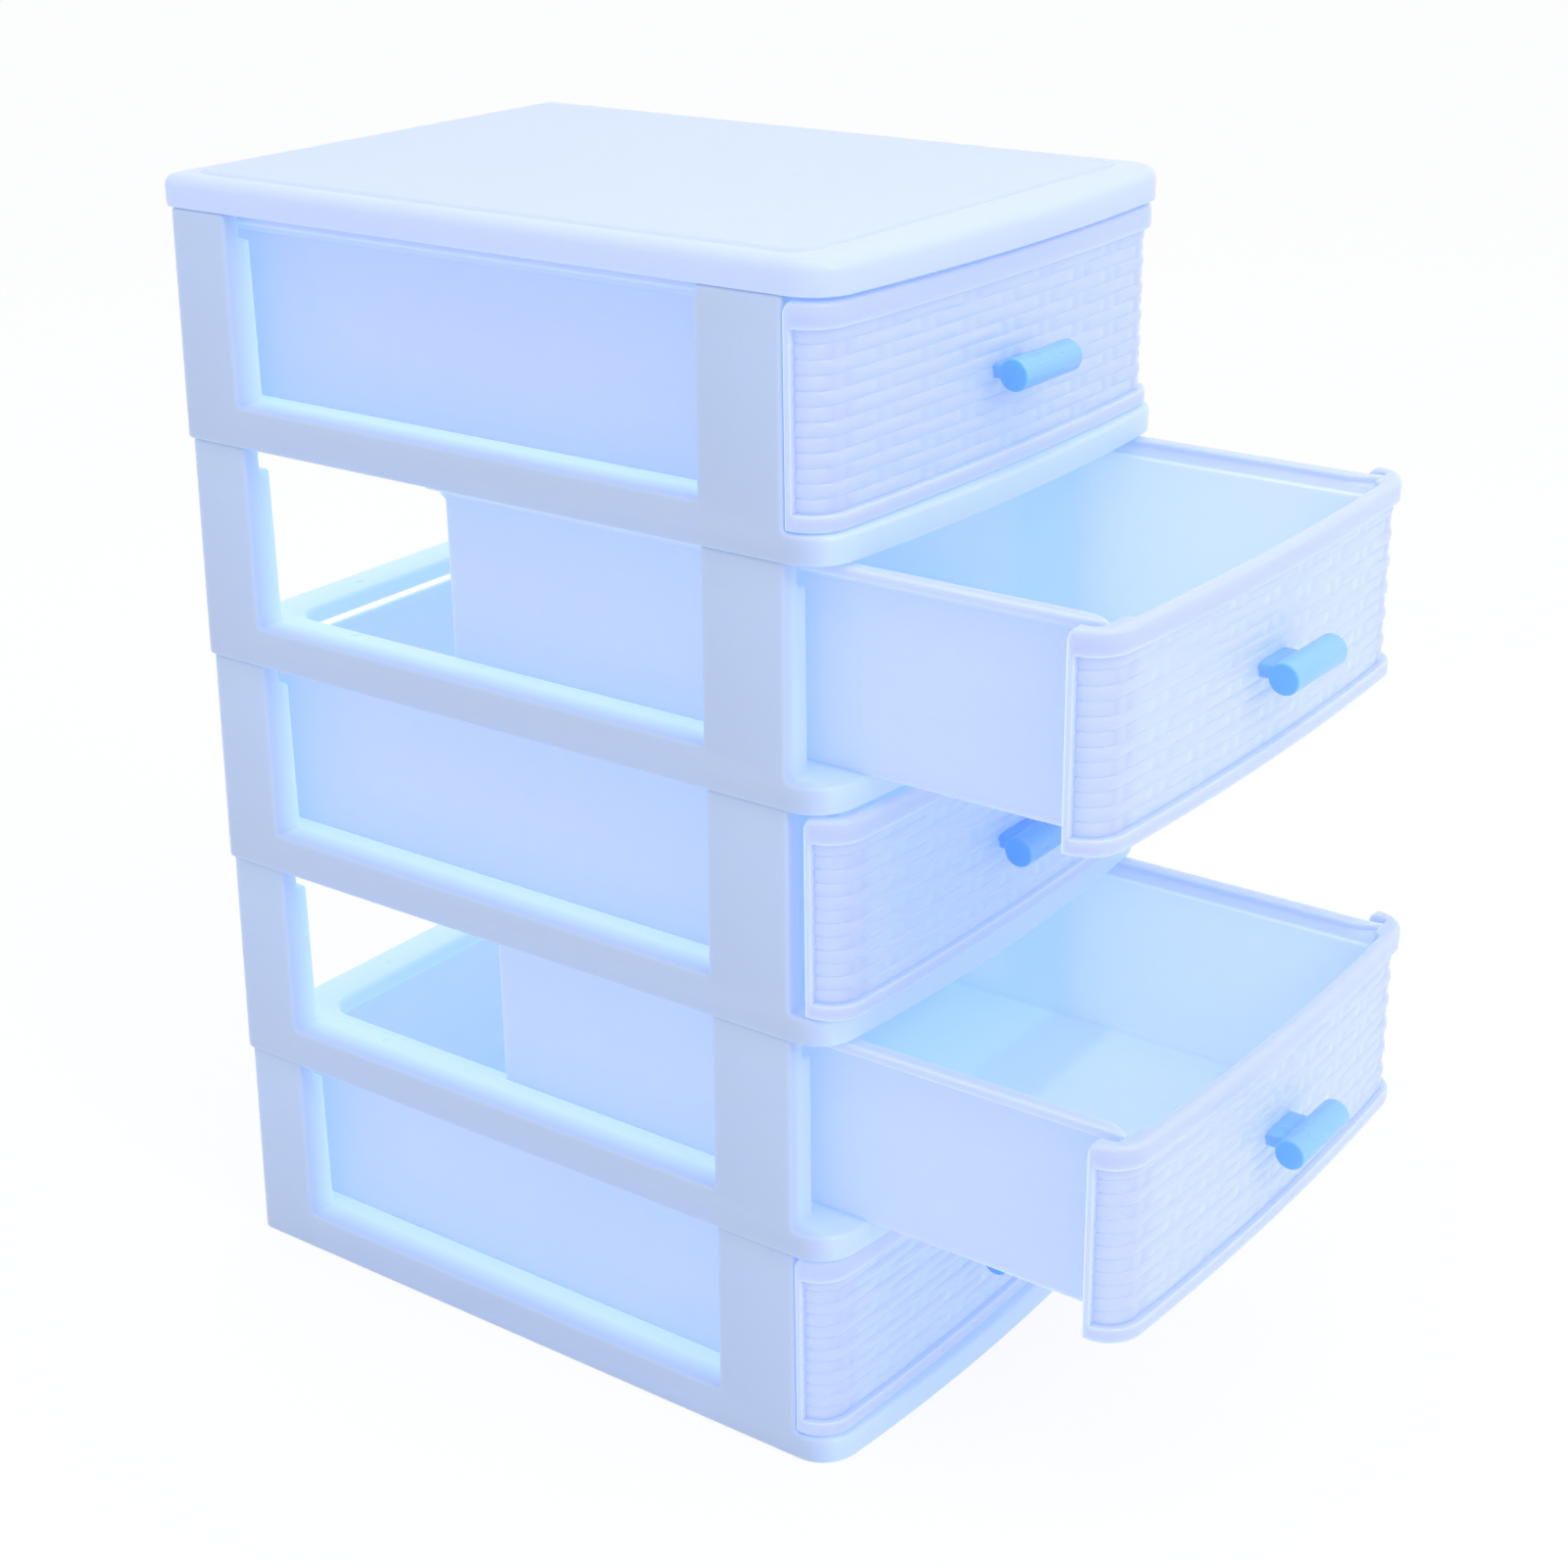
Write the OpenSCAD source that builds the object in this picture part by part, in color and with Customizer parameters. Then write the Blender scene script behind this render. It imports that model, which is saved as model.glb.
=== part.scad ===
// Desktop mini drawers: five stacked tiers under a cover. Each tier is a moulded frame, a deck with four
// hollow corner posts, that carries a sliding drawer with a woven-look bowed front and a clipped-on handle.
// Millimetres. X runs across the width from the middle, Y = 0 is the rear face and the drawers open
// towards -Y, and Z = 0 is the table top. Tiers are numbered from the top down.

/* [Case] */
// Width of a tier frame at its foot
case_width = 180; // [150:1:220]
// Depth from the rear face to the middle of the bowed front
case_depth = 249.7; // [220:0.1:300]
// How far the middle of the front stands ahead of its corners
case_bow = 5.2; // [3:0.1:9]
// Radius of the front corners in plan
case_corner = 12.8; // [9:0.1:18]
// Radius of the rear corners in plan
rear_corner = 4.5; // [3:0.1:7]
// Height of one tier, from deck to deck
tier_pitch = 71; // [62:0.5:90]
// How far the sides and the rear lean inwards over the height of one tier
side_lean = 1; // [0.4:0.1:1.4]
// Thickness of the moulded walls of the frames and of the cover
wall = 2; // [1.6:0.1:2.4]

/* [Deck] */
// Height of the deck plate's top above the foot of its tier
deck_height = 8.2; // [7:0.1:10]
// Height of the side rails above the foot of the tier
rail_height = 12.8; // [11.5:0.1:16]
// Width of a side rail, from the outer face to the drawer
rail_width = 16.5; // [15:0.1:20]
// Rounding of a rail's outer top edge
rail_round = 2.2; // [1:0.1:3]
// Distance from a rail's front end to the middle of the front
rail_front = 22.7; // [20:0.1:30]
// Width of the plate left behind the deck's opening
flange_rear = 15.3; // [10:0.1:25]
// Width of the plate, with its rail, beside the deck's opening
flange_side = 25.5; // [21:0.1:35]
// Width of the plate left in front of the deck's opening
flange_front = 62; // [45:0.5:90]
// Corner radius of the deck's opening
opening_corner = 9; // [4:0.1:14]
// Depth of the turned-down lip round the deck's opening
flange_lip = 5.5; // [3:0.1:6.5]

/* [Posts] */
// Width of a post in X
post_width = 11.3; // [10.5:0.1:12]
// Depth of a rear post in Y
rear_post = 25.6; // [18:0.1:32]
// Depth of a front post in Y
front_post = 28.6; // [20:0.1:36]
// Distance from a front post's front face to the middle of the front
post_setback = 18.7; // [18:0.1:22]
// Rounding of the posts' upright edges
post_round = 2; // [0.8:0.1:2.8]
// Height of the notch in a post's top that lets the drawer's rim pass
notch_height = 8.8; // [8:0.1:11]
// Depth of the same notch, from the post's inner face
notch_depth = 3.8; // [3:0.1:4.4]
// Rounding of the notch's ledge
notch_round = 3; // [1:0.1:3]
// Height of the peg on a post's top
peg_height = 5.5; // [4:0.1:7]
// Clearance round a peg in its socket
peg_clearance = 0.3; // [0.15:0.05:0.5]

/* [Cover] */
// How far each side of the cover stands in from the foot of a frame
cover_inset = 0.75; // [0:0.05:2]
// How far the cover stands out behind the rear face
cover_rear = 0.8; // [0:0.1:1.5]
// Height of the cover's rim
cover_height = 9.8; // [8.5:0.1:14]
// Rounding of the cover's top edge
cover_round = 3.5; // [1.5:0.1:4]
// Radius of the cover's front corners in plan
cover_corner = 13.4; // [10:0.1:18]
// Height of the raised panel on the cover
panel_rise = 0.8; // [0.4:0.1:1.5]
// Margin of the raised panel at each side
panel_side = 6.5; // [5:0.1:15]
// Margin of the raised panel at the front
panel_front = 16.4; // [12:0.1:25]
// Margin of the raised panel at the rear
panel_rear = 6.3; // [5:0.1:15]
// Corner radius of the raised panel
panel_corner = 9; // [5:0.1:15]

/* [Drawer box] */
// Clearance between a drawer and the rail at each side
drawer_side_gap = 0.3; // [0.2:0.05:0.8]
// Clearance between a drawer's floor and the deck plate
drawer_floor_gap = 0.3; // [0.2:0.05:0.6]
// Clearance between a drawer's rim and the deck above
drawer_top_gap = 1.1; // [0.6:0.1:2]
// Distance from the rear face to the rear wall of a closed drawer
drawer_rear_gap = 6.3; // [3:0.1:12]
// Thickness of the drawer's walls
box_wall = 1.6; // [1.2:0.1:2.2]
// Thickness of the drawer's floor
box_floor = 1.6; // [1.2:0.1:2.5]
// Radius of the drawer's rear corners in plan
box_corner = 3; // [2.5:0.1:6]
// Rounding of the drawer's bottom edges
box_round = 2.5; // [1:0.1:2.5]
// How far the side rims stand out from the drawer's walls
rim_reach = 6.7; // [5.5:0.1:7.5]
// Height of a side rim's outer face
rim_height = 3.3; // [2.5:0.1:4]
// How far the rim's inner edge stands out from the wall's outer face
rim_step = 1.8; // [1:0.1:2.5]
// Radius of the curve that narrows a rim to a tip at its front end
rim_tip = 12.1; // [10:0.1:16]
// Gap between a rim's tip and the drawer's front
rim_gap = 2.4; // [1:0.1:4]

/* [Drawer front] */
// How far each side of a drawer's front stands in from the foot of its frame
face_inset = 1.1; // [0.5:0.05:2]
// Distance from a closed drawer's front to the deck's front edge, at the middle
face_setback = 3.1; // [2:0.1:5]
// How far the middle of a drawer's front stands ahead of its corners
face_bow = 3.3; // [2:0.1:6]
// Radius of the drawer front's corners in plan
face_corner = 11.4; // [8:0.1:14]
// Thickness of a drawer's front at its bands
face_thick = 3.6; // [3.4:0.1:5]
// Clearance between a drawer's front and the deck plate
face_gap = 0.4; // [0.3:0.05:1]
// Clearance between a closed drawer's wings and the front posts
wing_gap = 0.5; // [0.3:0.05:1.5]
// Thickness of the wings beside the front posts
wing_thick = 4.4; // [3.6:0.1:6]
// Depth of the front's corner pockets, ahead of the wings' rear edges
pocket_depth = 6.6; // [4:0.1:7]
// Height of the plain band along the bottom
bottom_band = 4.8; // [3:0.1:8]
// Height of the plain band along the top
top_band = 7.3; // [4:0.1:12]
// Width of the plain rim along each wing
side_rim = 2; // [1:0.1:3]

/* [Weave] */
// Depth of the woven field below the bands
weave_depth = 2.5; // [1.8:0.1:2.6]
// Number of strands, one above the other
strands = 12; // [8:1:16]
// Share of its row's height that a strand stands proud
strand_share = 0.7; // [0.5:0.01:0.85]
// How far a strand stands up from the field
strand_rise = 0.75; // [0.4:0.05:1.2]
// How much further a strand stands up where it passes over a stake
strand_lift = 0.35; // [0:0.05:0.6]
// Number of stakes, the uprights that the strands pass over and behind, on each side of the middle one
side_stakes = 4; // [2:1:5]
// Distance from the outermost stake to the side of the front
stake_reach = 10.1; // [9:0.1:14]
// Width of a stake
stake_width = 4.4; // [3:0.1:7]
// How far a stake stands up from the field
stake_rise = 0.6; // [0.3:0.05:1]
// Gap beside a stake, where a strand passes behind it
stake_gap = 1.2; // [0.6:0.1:2]

/* [Handle] */
// Length of the handle's bar
bar_length = 30; // [24:0.5:60]
// Diameter of the handle's bar
bar_diameter = 9.4; // [7:0.1:12]
// Rounding of the bar's ends
bar_round = 1.6; // [0.5:0.1:3]
// Distance from the drawer's front to the bar's axis
bar_standoff = 8.7; // [7:0.1:14]
// Height of the bar's axis above the foot of its tier
bar_height = 38.6; // [30:0.1:45]
// Length of the web that carries the bar
web_length = 23; // [18:0.5:40]
// Height of the same web
web_height = 8.4; // [5:0.1:9]
// Rounding of the web's upright edges
web_round = 1.5; // [0.5:0.1:2]
// How far the seat behind the web stands up from the woven field
seat_rise = 1.3; // [1.15:0.05:1.5]
// Margin of the seat round the web
seat_margin = 1; // [0.5:0.1:2]
// Thickness of the clips that hold the handle
clip_thick = 1.8; // [1.4:0.1:2.4]
// Height of the clips
clip_height = 5; // [3:0.1:7]
// Distance between the two clips
clip_pitch = 13; // [9:0.5:24]
// Clearance round the clips in their slots
clip_clearance = 0.2; // [0.1:0.05:0.4]
// How far a clip's barb hooks behind the drawer's front
barb = 0.8; // [0.5:0.1:1.2]

/* [Drawer pulls] */
// How far the first drawer, under the cover, is pulled out
pull_1 = 0; // [0:0.1:165]
// How far the second drawer is pulled out
pull_2 = 86.3; // [0:0.1:165]
// How far the third drawer is pulled out
pull_3 = 4.9; // [0:0.1:165]
// How far the fourth drawer is pulled out
pull_4 = 97.1; // [0:0.1:165]
// How far the fifth drawer, at the bottom, is pulled out
pull_5 = 0; // [0:0.1:165]

/* [Hidden] */
$fn = 48;
eps = 0.01;
// Facets used to draw a very large circle, such as a bow
bow_fn = 720;
// Overrun of a cutter past the face that it opens
over = 1;

pulls = [pull_1, pull_2, pull_3, pull_4, pull_5];
tiers = len(pulls);

// Case
half_case = case_width / 2;
case_bow_radius = bow_radius(case_width, case_bow);
plate_under = deck_height - wall;
post_inner = half_case - post_width;
post_front = case_depth - post_setback;
post_back = post_front - front_post;
rail_inner = half_case - rail_width;
socket_outer = half_case - side_lean - wall;
notch_floor = tier_pitch - notch_height;
notch_plane = post_inner + notch_depth;
opening_half = half_case - flange_side;
opening_front = case_depth - flange_front;
// A peg stands on the part of a post's top that the notch leaves
peg_outer = socket_outer - peg_clearance;
peg_inner = notch_plane + 2 * peg_clearance;
rear_peg = [wall + side_lean + peg_clearance, rear_post - wall - peg_clearance];
front_peg = [post_back + wall + peg_clearance, post_front - wall - peg_clearance];

// Cover
cover_base = tiers * tier_pitch;
cover_width = case_width - 2 * cover_inset;
cover_bow_radius = bow_radius(cover_width, case_bow);
cover_front = case_depth;
panel_half = cover_width / 2 - panel_side;

// Drawer, closed, with its foot at Z = 0
box_outer = rail_inner - drawer_side_gap;
box_inner = box_outer - box_wall;
box_bottom = deck_height + drawer_floor_gap;
drawer_top = tier_pitch - drawer_top_gap;
rim_outer = box_outer + rim_reach;
rim_inner = box_outer + rim_step;
rim_under = drawer_top - rim_height;
wall_top = rim_under - box_wall;
face_width = case_width - 2 * face_inset;
face_front = case_depth - face_setback;
face_bow_radius = bow_radius(face_width, face_bow);
face_bottom = deck_height + face_gap;
wing_back = post_front + wing_gap;
pocket_front = wing_back + pocket_depth;
pocket_outer = face_width / 2 - wing_thick;
field_bottom = face_bottom + bottom_band;
field_top = drawer_top - top_band;
field_back = wing_back + side_rim;
row_height = (field_top - field_bottom) / strands;
strand_height = row_height * strand_share;
stake_pitch = (face_width / 2 - stake_reach) / side_stakes;
rim_front = pocket_front - rim_gap;
rim_swing = sqrt(pow(rim_tip, 2) - pow(rim_tip - rim_outer + rim_inner, 2));

// Handle
bar_y = face_front + bar_standoff;
seat_y = face_front - weave_depth + seat_rise;
slot_back = face_front - face_thick;

// Radius of a bow of a given width and rise
function bow_radius(width, bow) = (width * width / 4 + bow * bow) / (2 * bow);
// Distance from the rear face to the centre of a corner that is tangent to the side and to the bow
function corner_depth(width, front, bow_r, corner) =
    front - bow_r + sqrt(pow(bow_r - corner, 2) - pow(width / 2 - corner, 2));
// X at which the bow passes into the corner
function bow_end(width, bow_r, corner) = (width / 2 - corner) * bow_r / (bow_r - corner);

// Rectangle with rounded corners
module rounded(x0, y0, x1, y1, r) {
    translate([x0 + r, y0]) square([x1 - x0 - 2 * r, y1 - y0]);
    translate([x0, y0 + r]) square([x1 - x0, y1 - y0 - 2 * r]);
    for (x = [x0 + r, x1 - r], y = [y0 + r, y1 - r]) translate([x, y]) circle(r);
}

// Plan with a bowed front, rounded front corners and rounded rear corners, drawn in by inset
module bowed_plan(width, front, bow_r, corner, rear, rear_r, inset = 0) {
    half = width / 2 - inset;
    centre = corner_depth(width, front, bow_r, corner);
    strip = bow_end(width, bow_r, corner) * (bow_r - inset) / bow_r;
    back = rear - inset;
    back_r = max(rear_r - inset, 0.5);
    intersection() {
        translate([0, bow_r - front]) circle(bow_r - inset, $fn = bow_fn);
        translate([-strip, -front - over]) square([2 * strip, front - centre + 2 * over]);
    }
    for (s = [-1, 1]) translate([s * (width / 2 - corner), -centre]) circle(corner - inset);
    translate([-half, -centre]) square([2 * half, centre + back - back_r]);
    rounded(-half, back - 3 * back_r, half, back, back_r);
}

// Section that a cutter takes off an edge at the origin, outwards along X and upwards along Y. Its arc
// crosses the two faces at a slight angle, so that the cut ends in clean lines.
module edge_section(r) {
    middle = 0.97 * r;
    difference() {
        translate([-middle, -middle]) square(middle + over);
        translate([-middle, -middle]) circle(r);
    }
}

// Cutter that rounds a straight top edge, which starts at a point and runs to the left of its normal
module straight_edge(start, z, normal, length, r) {
    translate([start[0], start[1], z]) rotate([90, 0, normal]) linear_extrude(length) edge_section(r);
}

// Cutter that rounds a curved top edge round a centre, between two angles
module curved_edge(centre, z, radius, from, to, r) {
    translate([centre[0], centre[1], z]) rotate(from)
        rotate_extrude(angle = to - from) translate([radius, 0]) edge_section(r);
}

// Cutter that rounds the side and rear top edges behind a bowed front
module back_edges(width, front_y, rear, rear_r, z, r) {
    half = width / 2;
    straight_edge([half, rear - rear_r], z, 0, rear - rear_r - front_y, r);
    straight_edge([-half, front_y], z, 180, rear - rear_r - front_y, r);
    straight_edge([rear_r - half, rear], z, 90, width - 2 * rear_r, r);
    curved_edge([half - rear_r, rear - rear_r], z, rear_r, 0, 90, r);
    curved_edge([rear_r - half, rear - rear_r], z, rear_r, 90, 180, r);
}

// Space inside the leaning sides and rear of one tier
module leaning_space() {
    intersection() {
        rotate([90, 0, 0]) translate([0, 0, -over]) linear_extrude(case_depth + 2 * over)
            polygon([[-half_case, 0], [half_case, 0],
                     [half_case - side_lean, tier_pitch], [side_lean - half_case, tier_pitch]]);
        rotate([90, 0, 90]) translate([0, 0, -half_case - over]) linear_extrude(case_width + 2 * over)
            polygon([[-case_depth - over, 0], [0, 0], [-side_lean, tier_pitch], [-case_depth - over, tier_pitch]]);
    }
}

module case_plan(inset = 0) {
    bowed_plan(case_width, case_depth, case_bow_radius, case_corner, 0, rear_corner, inset);
}

// Plan of the two posts on the right, or of what they hold, drawn in by inset
module post_plans(inset = 0) {
    rounded(post_inner + inset, -rear_post + inset, half_case - inset, -inset, max(post_round - inset, 0.3));
    rounded(post_inner + inset, -post_front + inset, half_case - inset, -post_back - inset,
            max(post_round - inset, 0.3));
}

module on_both_sides() {
    children();
    mirror([1, 0, 0]) children();
}

module deck_opening(grow = 0) {
    rounded(-opening_half - grow, -opening_front - grow, opening_half + grow, -flange_rear + grow,
            opening_corner + grow);
}

// Outside of a tier frame, before it is hollowed: the deck plate, its rails and its posts
module frame_outside() {
    intersection() {
        leaning_space();
        linear_extrude(tier_pitch) case_plan();
        union() {
            translate([-half_case - over, -case_depth - over, 0])
                cube([case_width + 2 * over, case_depth + 2 * over, deck_height]);
            on_both_sides() {
                linear_extrude(tier_pitch) post_plans();
                translate([rail_inner, -post_back, 0]) cube([rail_width, post_back - rear_post, rail_height]);
                translate([rail_inner, -case_depth + rail_front, 0])
                    cube([rail_width - post_width + over, case_depth - rail_front - post_back, rail_height]);
            }
        }
    }
}

// Cutter for the notch along the inner edge of the posts' tops
module post_notch() {
    translate([0, over, 0]) rotate([90, 0, 0]) linear_extrude(case_depth) {
        translate([post_inner - over, notch_floor]) square([notch_depth + over, notch_height + over]);
        translate([post_inner, notch_floor - notch_round]) difference() {
            translate([-over, 0]) square(notch_round + over);
            translate([notch_round, 0]) circle(notch_round);
        }
    }
}

// Underside of a frame: the tray under the plate, the hollow rails and the posts' sockets
module frame_hollows() {
    difference() {
        translate([0, 0, -over]) linear_extrude(plate_under + over) difference() {
            case_plan(wall);
            on_both_sides() post_plans();
        }
        translate([0, 0, deck_height - flange_lip]) linear_extrude(flange_lip) deck_opening(wall);
    }
    on_both_sides() {
        translate([rail_inner + wall, -post_back, -over])
            cube([socket_outer - rail_inner - wall, post_back - rear_post, rail_height - wall + over]);
        for (span = [[wall + side_lean, rear_post - wall], [post_back + wall, post_front - wall]])
            translate([post_inner + wall, -span[1], -over])
                cube([socket_outer - post_inner - wall, span[1] - span[0], notch_floor - wall + over]);
    }
}

module peg(span, height) {
    translate([peg_inner, -span[1], 0]) cube([peg_outer - peg_inner, span[1] - span[0], height]);
}

module tier_frame(i) {
    rail_face = half_case - side_lean * rail_height / tier_pitch;
    color("#c5d3f3") translate([0, 0, (tiers - i) * tier_pitch]) {
        difference() {
            frame_outside();
            frame_hollows();
            translate([0, 0, -over]) linear_extrude(deck_height + 2 * over) deck_opening();
            on_both_sides() {
                post_notch();
                straight_edge([rail_face, -rear_post], rail_height, 0, post_back - rear_post, rail_round);
            }
        }
        on_both_sides() for (span = [rear_peg, front_peg])
            translate([0, 0, tier_pitch - eps]) peg(span, peg_height + eps);
    }
}

module top_cover() {
    corner_y = corner_depth(cover_width, cover_front, cover_bow_radius, cover_corner);
    color("#dfecfd") translate([0, 0, cover_base]) {
        difference() {
            linear_extrude(cover_height)
                bowed_plan(cover_width, cover_front, cover_bow_radius, cover_corner, cover_rear, rear_corner);
            difference() {
                translate([0, 0, -over]) linear_extrude(cover_height - wall + over)
                    bowed_plan(cover_width, cover_front, cover_bow_radius, cover_corner, cover_rear,
                               rear_corner, wall);
                on_both_sides() for (span = [rear_peg, front_peg])
                    translate([peg_inner - peg_clearance - wall, -span[1] - peg_clearance - wall, 0])
                        cube([half_case - peg_inner, span[1] - span[0] + 2 * (peg_clearance + wall),
                              cover_height]);
            }
            on_both_sides() for (span = [rear_peg, front_peg])
                translate([peg_inner - peg_clearance, -span[1] - peg_clearance, -over])
                    cube([peg_outer - peg_inner + 2 * peg_clearance, span[1] - span[0] + 2 * peg_clearance,
                          peg_height + peg_clearance + over]);
            back_edges(cover_width, -corner_y, cover_rear, rear_corner, cover_height, cover_round);
        }
        translate([0, 0, cover_height - eps]) linear_extrude(panel_rise + eps)
            rounded(-panel_half, -cover_front + panel_front, panel_half, cover_rear - panel_rear, panel_corner);
    }
}

// Section of a side rim: it flares out from the wall's top and ends in an upright outer face
module rim_section() {
    flare = rim_step + box_wall;
    polygon([
        [box_inner, wall_top - flare], [box_outer, wall_top - flare], [box_outer, wall_top - box_wall],
        [rim_inner, rim_under - box_wall / 2], [rim_outer, rim_under], [rim_outer, drawer_top],
        [rim_inner, drawer_top], [rim_inner, rim_under + box_wall], [box_inner, wall_top]
    ]);
}

// Rim along the right-hand wall. Near the front its inner edge swings out, so that it ends in a tip.
module side_rim() {
    swing_start = rim_front - rim_swing;
    difference() {
        translate([0, -drawer_rear_gap, 0]) rotate([90, 0, 0])
            linear_extrude(rim_front - drawer_rear_gap) rim_section();
        translate([0, 0, wall_top]) linear_extrude(drawer_top) difference() {
            translate([rim_inner - over, -rim_front - over]) square([rim_reach + over, rim_swing + over]);
            translate([rim_inner + rim_tip, -swing_start]) circle(rim_tip);
        }
    }
}

// Walls and floor of a drawer, without the front. The side walls stop under their rims.
module drawer_box() {
    back_wall = drawer_rear_gap + box_wall;
    difference() {
        translate([0, 0, box_bottom]) linear_extrude(drawer_top - box_bottom)
            rounded(-box_outer, -pocket_front - box_corner, box_outer, -drawer_rear_gap, box_corner);
        translate([-box_outer - over, -case_depth, wall_top])
            cube([2 * (box_outer + over), case_depth - back_wall, drawer_top]);
        translate([0, 0, box_bottom]) mirror([0, 0, 1])
            back_edges(2 * box_outer, -pocket_front, -drawer_rear_gap, box_corner, 0, box_round);
    }
    on_both_sides() side_rim();
}

// Plan of a drawer's bowed front and its wings, drawn in by inset and cut off at a given depth
module face_plan(inset = 0, back = wing_back) {
    intersection() {
        bowed_plan(face_width, face_front, face_bow_radius, face_corner, -post_back, post_round, inset);
        translate([-face_width, -case_depth]) square([2 * face_width, case_depth - back]);
    }
}

// Room inside a drawer, up to the inner face of its bowed front
module drawer_room() {
    translate([0, 0, box_bottom + box_floor]) linear_extrude(drawer_top) {
        rounded(-box_inner, -pocket_front - over, box_inner, -drawer_rear_gap - box_wall,
                box_corner - box_wall);
        intersection() {
            face_plan(face_thick);
            translate([-box_inner, -case_depth]) square([2 * box_inner, case_depth]);
        }
    }
}

// Clip of the right-hand side in plan, from the web backwards, with a barb on its outer side
module clip_plan() {
    reach = seat_y - slot_back + clip_clearance;
    translate([clip_pitch / 2 - clip_thick / 2, -seat_y]) polygon([
        [0, -over], [clip_thick, -over], [clip_thick, reach], [clip_thick + barb, reach],
        [clip_thick, reach + 2 * barb + over], [0, reach + 2 * barb + over]
    ]);
}

module clip_slot() {
    translate([clip_pitch / 2 - clip_thick / 2 - clip_clearance, -seat_y - over,
               bar_height - clip_height / 2 - clip_clearance])
        cube([clip_thick + 2 * clip_clearance, face_thick + 2 * over, clip_height + 2 * clip_clearance]);
}

// Flat seat for the handle's web, standing up from the woven field
module handle_seat() {
    translate([0, -face_front + weave_depth + over / 2, bar_height]) rotate([90, 0, 0])
        linear_extrude(seat_rise + over / 2)
            rounded(-web_length / 2 - seat_margin, -web_height / 2 - seat_margin,
                    web_length / 2 + seat_margin, web_height / 2 + seat_margin, web_round);
}

// Strips across the front at every other stake
module stake_strips(odd, width) {
    for (k = [-side_stakes:side_stakes]) if ((abs(k) + odd) % 2 == 0)
        translate([k * stake_pitch - width / 2, -case_depth]) square([width, case_depth - field_back]);
}

// Plan of the front at the height of a strand, which passes behind every other stake and over the rest
module strand_plan(odd) {
    difference() {
        face_plan(weave_depth - strand_rise, field_back - side_rim / 2);
        stake_strips(odd, stake_width + 2 * stake_gap);
    }
    intersection() {
        face_plan(weave_depth - stake_rise, field_back - side_rim / 2);
        stake_strips(odd, stake_width);
    }
    intersection() {
        face_plan(weave_depth - strand_rise - strand_lift, field_back - side_rim / 2);
        stake_strips(1 - odd, stake_width + 2 * stake_gap);
    }
}

// The woven field's strands, with the stakes that show between them
module woven_field() {
    for (row = [0:strands - 1])
        translate([0, 0, field_bottom + row * row_height + (row_height - strand_height) / 2])
            linear_extrude(strand_height) strand_plan(row % 2);
}

// Bowed front with its wings, its plain bands and rims, and the sunk field with its weave
module drawer_face() {
    difference() {
        union() {
            difference() {
                translate([0, 0, face_bottom]) linear_extrude(drawer_top - face_bottom) face_plan();
                translate([0, 0, field_bottom]) linear_extrude(field_top - field_bottom) difference() {
                    translate([-face_width, -case_depth]) square([2 * face_width, case_depth - field_back]);
                    face_plan(weave_depth, wing_back - over);
                }
            }
            woven_field();
            handle_seat();
        }
        on_both_sides() translate([0, 0, face_bottom - over]) linear_extrude(tier_pitch)
            rounded(box_outer, -pocket_front, pocket_outer, -wing_back + 3 * over, post_round);
    }
}

module drawer(i) {
    color("#cbdcff") translate([0, -pulls[i - 1], (tiers - i) * tier_pitch]) difference() {
        union() {
            drawer_box();
            drawer_face();
        }
        drawer_room();
        on_both_sides() clip_slot();
    }
}

module handle(i) {
    color("#a2d2ff") translate([0, -pulls[i - 1], (tiers - i) * tier_pitch]) {
        translate([-bar_length / 2, -bar_y, bar_height]) rotate([0, 90, 0]) rotate_extrude() intersection() {
            rounded(-bar_diameter / 2, 0, bar_diameter / 2, bar_length, bar_round);
            square([bar_diameter, bar_length]);
        }
        translate([0, -seat_y, bar_height]) rotate([90, 0, 0]) linear_extrude(bar_y - seat_y)
            rounded(-web_length / 2, -web_height / 2, web_length / 2, web_height / 2, web_round);
        on_both_sides() translate([0, 0, bar_height - clip_height / 2]) linear_extrude(clip_height) clip_plan();
    }
}

top_cover();
for (i = [1:tiers]) {
    tier_frame(i);
    drawer(i);
    handle(i);
}
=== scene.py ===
import math

import bmesh
import bpy
from mathutils import Matrix, Vector


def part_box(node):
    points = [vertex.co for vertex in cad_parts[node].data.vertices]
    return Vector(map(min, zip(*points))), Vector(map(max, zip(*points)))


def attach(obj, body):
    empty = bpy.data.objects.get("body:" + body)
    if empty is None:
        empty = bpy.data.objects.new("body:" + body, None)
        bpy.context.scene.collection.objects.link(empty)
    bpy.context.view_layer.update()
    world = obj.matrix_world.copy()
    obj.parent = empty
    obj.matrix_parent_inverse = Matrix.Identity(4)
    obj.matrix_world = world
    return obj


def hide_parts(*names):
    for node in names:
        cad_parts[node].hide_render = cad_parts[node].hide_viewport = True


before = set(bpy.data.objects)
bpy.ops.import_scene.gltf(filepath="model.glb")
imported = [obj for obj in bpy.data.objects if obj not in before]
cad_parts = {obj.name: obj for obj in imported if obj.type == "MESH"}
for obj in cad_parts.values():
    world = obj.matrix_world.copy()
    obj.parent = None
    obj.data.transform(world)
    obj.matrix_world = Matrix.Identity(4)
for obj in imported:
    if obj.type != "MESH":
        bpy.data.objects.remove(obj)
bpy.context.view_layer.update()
print("frame loaded:", len(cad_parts), "nodes")

# shapes are worked in millimetres and brought to metres when a piece is finished
mm = 0.001
tiers = range(1, 6)

# how close, in mm, counts as the same place
near = {"point": 0.005, "weld": 0.01, "plane": 0.01, "mirror": 0.02}
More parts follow.
